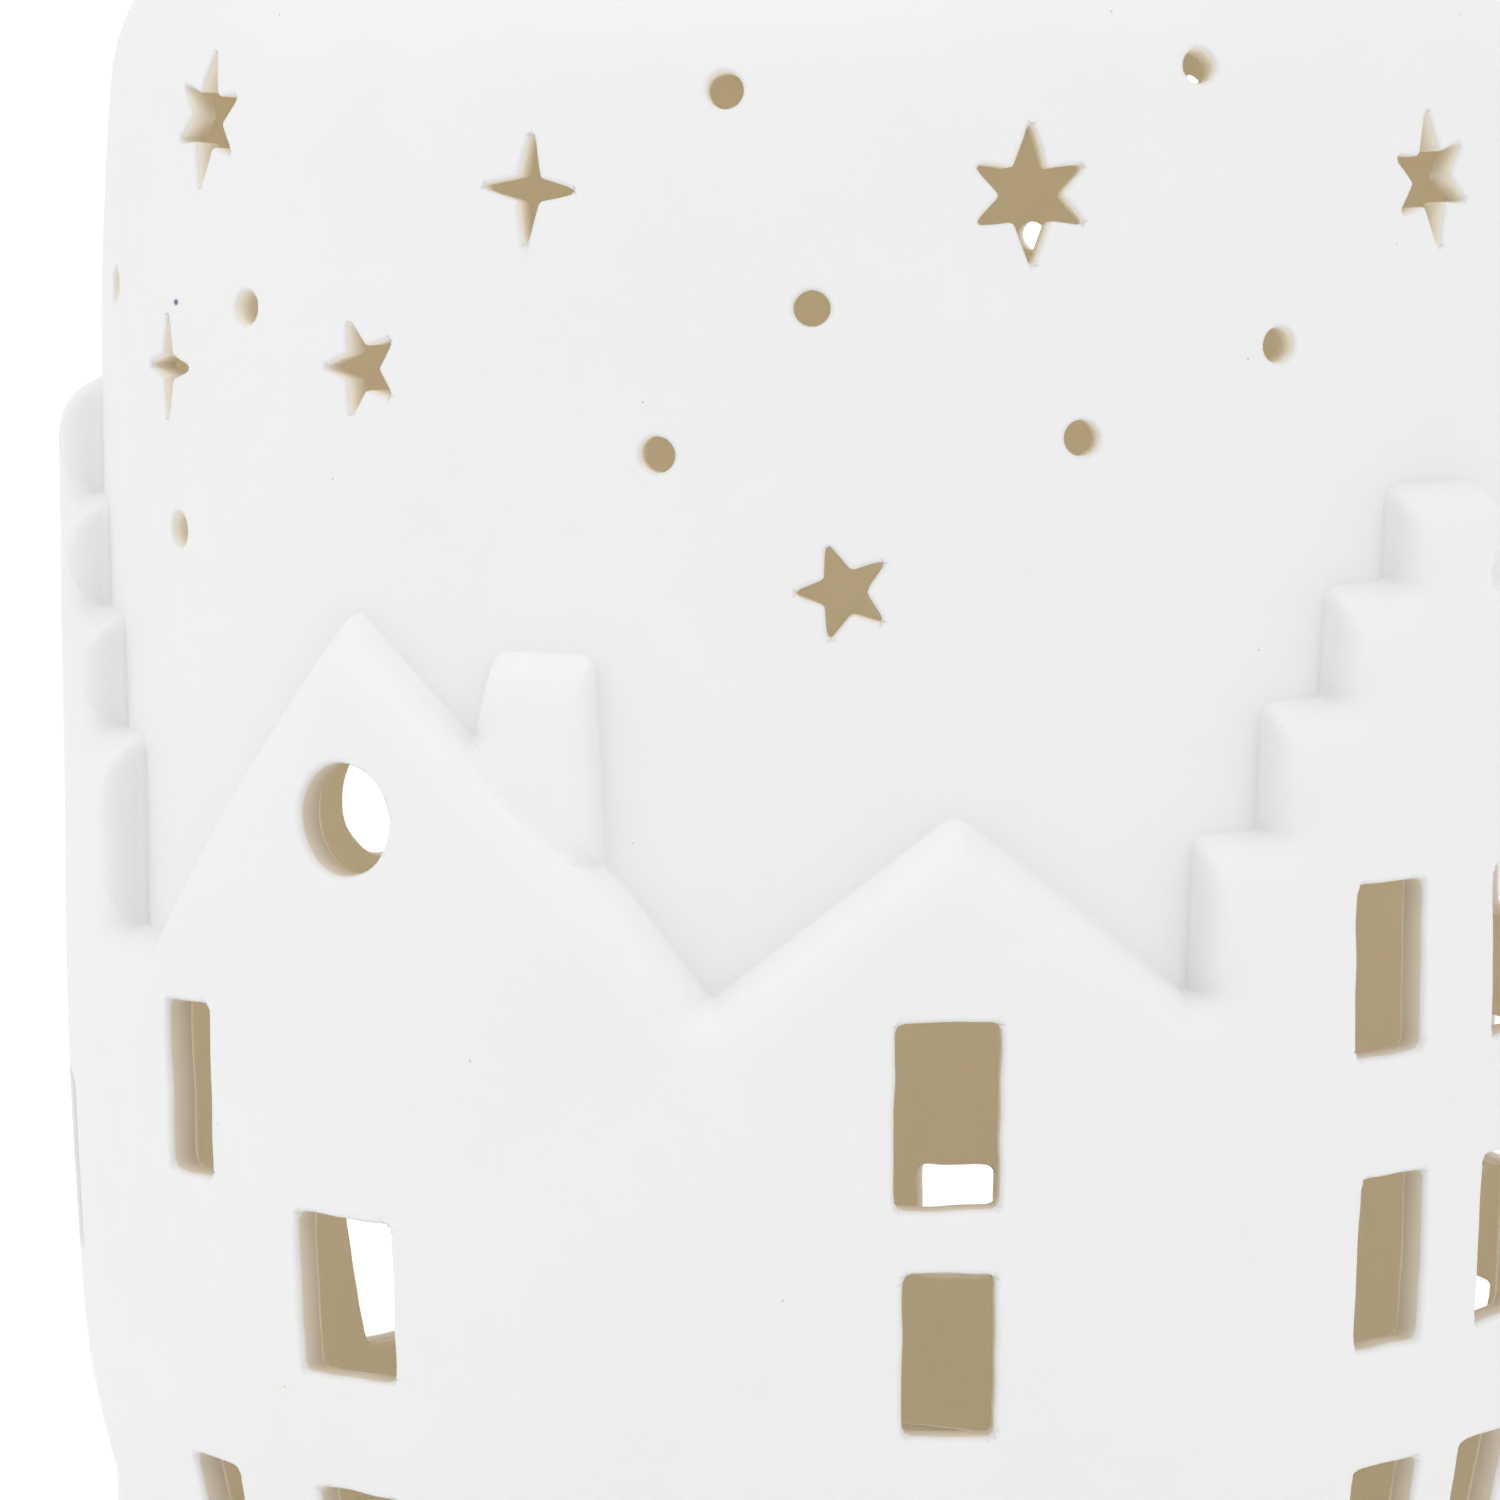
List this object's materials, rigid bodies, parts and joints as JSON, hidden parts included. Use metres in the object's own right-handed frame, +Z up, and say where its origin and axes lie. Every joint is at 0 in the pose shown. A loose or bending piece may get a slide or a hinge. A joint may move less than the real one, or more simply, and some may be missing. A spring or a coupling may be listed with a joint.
{
  "type": "tealight holder",
  "caption": "Round white porcelain tealight holder: a pierced lift-off hood with a raised town of gabled houses and a starry sky, on a low dish with a candle well.",
  "frame": {"origin": "centre of the dish's foot, on the surface that the holder stands on", "axes": "+Z up along the hood's axis, the holder's longest side; -Y is the front, the side with the small gabled house; +X is to the right seen from the front"},
  "size_m": [0.1106, 0.1106, 0.1325],
  "materials": {
    "hood_porcelain": "matte",
    "dish_porcelain": "satin",
    "cup_aluminium": "satin",
    "candle_wax": "satin",
    "sustainer_steel": "satin",
    "wick_cotton": "matte"
  },
  "bodies": {
    "dish": {"base_dish": "dish_porcelain"},
    "hood": {"village_hood": "hood_porcelain"},
    "tealight": {"tealight_cup": "cup_aluminium", "tealight_wax": "candle_wax", "wick_sustainer": "sustainer_steel", "wick": "wick_cotton"}
  },
  "joints": [
    {"name": "hood_lift", "type": "slide", "parent": "dish", "child": "hood", "axis": [0, 0, 1], "range_m": [0, 0.08]},
    {"name": "tealight_lift", "type": "slide", "parent": "dish", "child": "tealight", "axis": [0, 0, 1], "range_m": [0, 0.03]}
  ]
}
